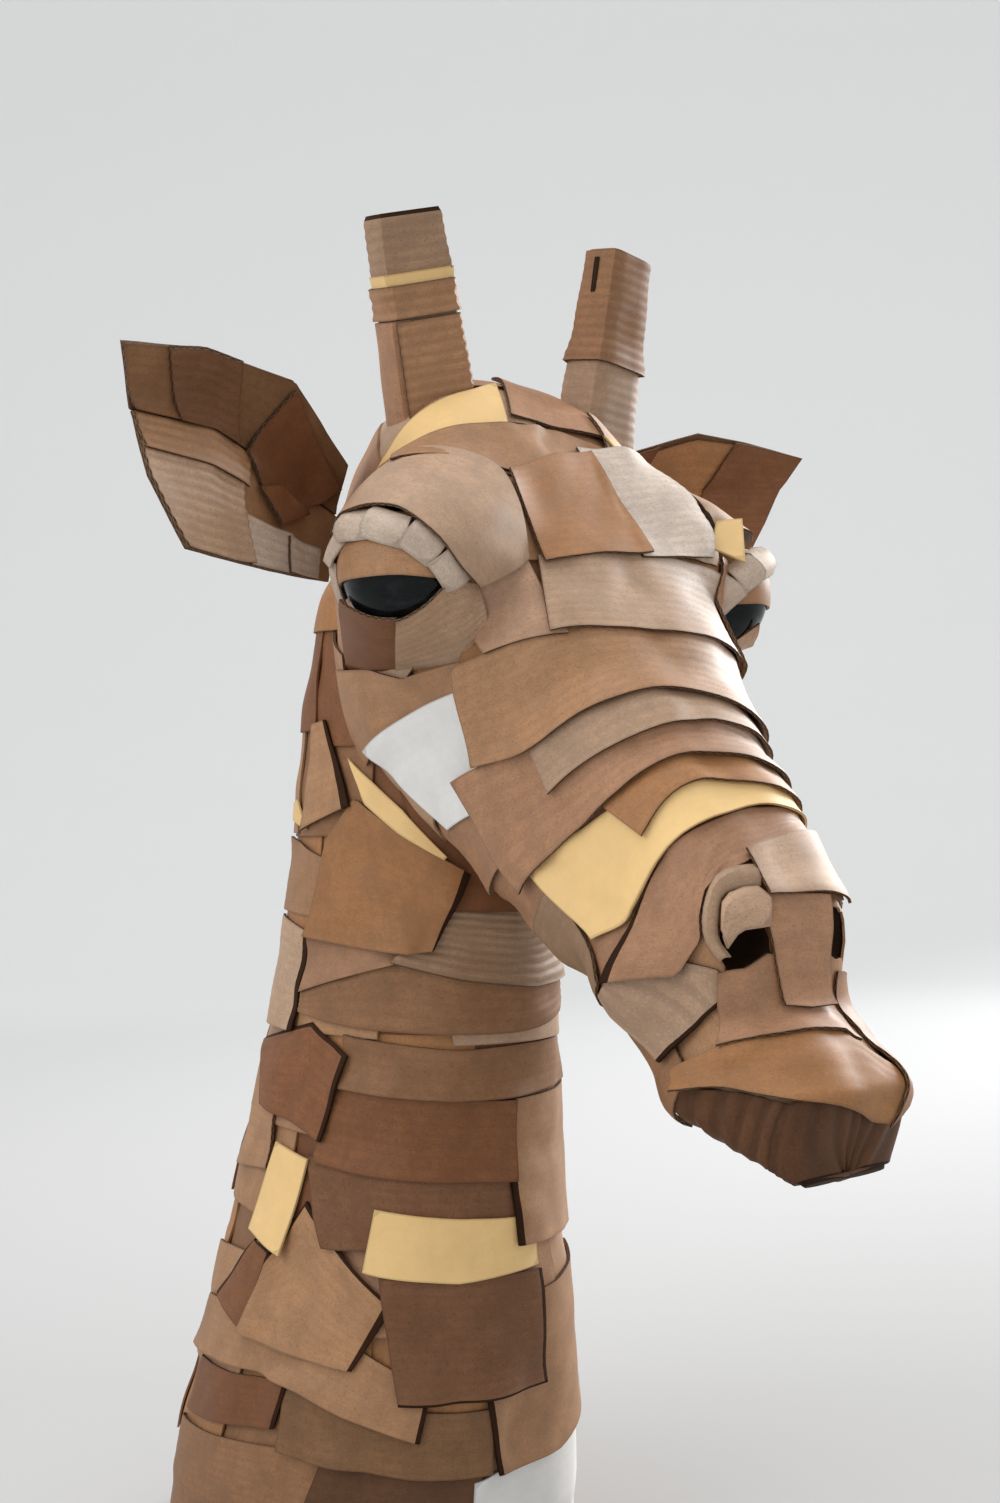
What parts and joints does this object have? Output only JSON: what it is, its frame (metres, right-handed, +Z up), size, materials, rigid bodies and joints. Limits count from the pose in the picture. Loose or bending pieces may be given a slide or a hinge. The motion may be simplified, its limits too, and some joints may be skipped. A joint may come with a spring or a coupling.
{
  "type": "giraffe bust sculpture",
  "caption": "Giraffe head and neck built of overlapping corrugated card patches, with folded ears, box horns and glossy black eyes, cut flat under the neck.",
  "frame": {"origin": "middle of the flat underside of the neck", "axes": "+Z up, -Y the way the muzzle points, -X the right side of the animal"},
  "size_m": [0.5447, 0.6034, 0.8869],
  "materials": {
    "kraft_board": "matt unprinted corrugated kraft board",
    "pale_board": "matt pale corrugated kraft board",
    "brown_board": "matt red-brown corrugated kraft board",
    "yellow_card": "matt pale yellow card facing",
    "white_card": "matt white card facing",
    "gloss_black": "glossy black eyeball"
  },
  "bodies": {
    "root": {"right_eye": "gloss_black", "right_upper_lid": "brown_board", "right_lower_lid": "kraft_board", "right_brow_roll_1": "pale_board", "right_brow_roll_2": "pale_board", "right_brow_roll_3": "pale_board", "right_brow_roll_4": "pale_board", "right_brow_roll_5": "pale_board", "right_brow_roll_6": "pale_board", "right_brow_hood": "kraft_board", "right_horn": "kraft_board", "right_ear_upper_flap": "brown_board", "right_ear_lower_flap": "pale_board", "left_eye": "gloss_black", "left_upper_lid": "brown_board", "left_lower_lid": "kraft_board", "left_brow_roll_1": "pale_board", "left_brow_roll_2": "pale_board", "left_brow_roll_3": "pale_board", "left_brow_roll_4": "pale_board", "left_brow_roll_5": "pale_board", "left_brow_roll_6": "pale_board", "left_brow_hood": "kraft_board", "left_horn": "kraft_board", "left_ear_upper_flap": "brown_board", "left_ear_lower_flap": "pale_board", "right_horn_sleeve": "kraft_board", "right_horn_middle_band": "kraft_board", "right_horn_yellow_band": "yellow_card", "left_horn_sleeve": "pale_board", "left_horn_fluted_wrap": "brown_board", "white_cheek_patch": "white_card", "forehead_patch": "kraft_board", "crown_patch": "kraft_board", "forehead_yellow": "yellow_card", "bridge_patch": "pale_board", "snout_wide_strip": "kraft_board", "snout_pale_strip": "pale_board", "snout_brown_strip": "brown_board", "snout_slanted_strip": "kraft_board", "nose_bridge_patch": "pale_board", "snout_yellow": "yellow_card", "muzzle_side_patch": "kraft_board", "septum_strip": "kraft_board", "side_lip_patch": "pale_board", "upper_lip_band": "brown_board", "neck_upper_patch": "brown_board", "neck_ribbed_patch": "pale_board", "neck_golden_strip": "kraft_board", "neck_side_patch": "brown_board", "neck_red_strip": "brown_board", "neck_yellow_small": "yellow_card", "neck_yellow_wide": "yellow_card", "neck_pale_patch": "pale_board", "neck_dark_patch": "brown_board", "neck_foot_white": "white_card", "head": "kraft_board", "neck": "kraft_board"}
  },
  "joints": []
}
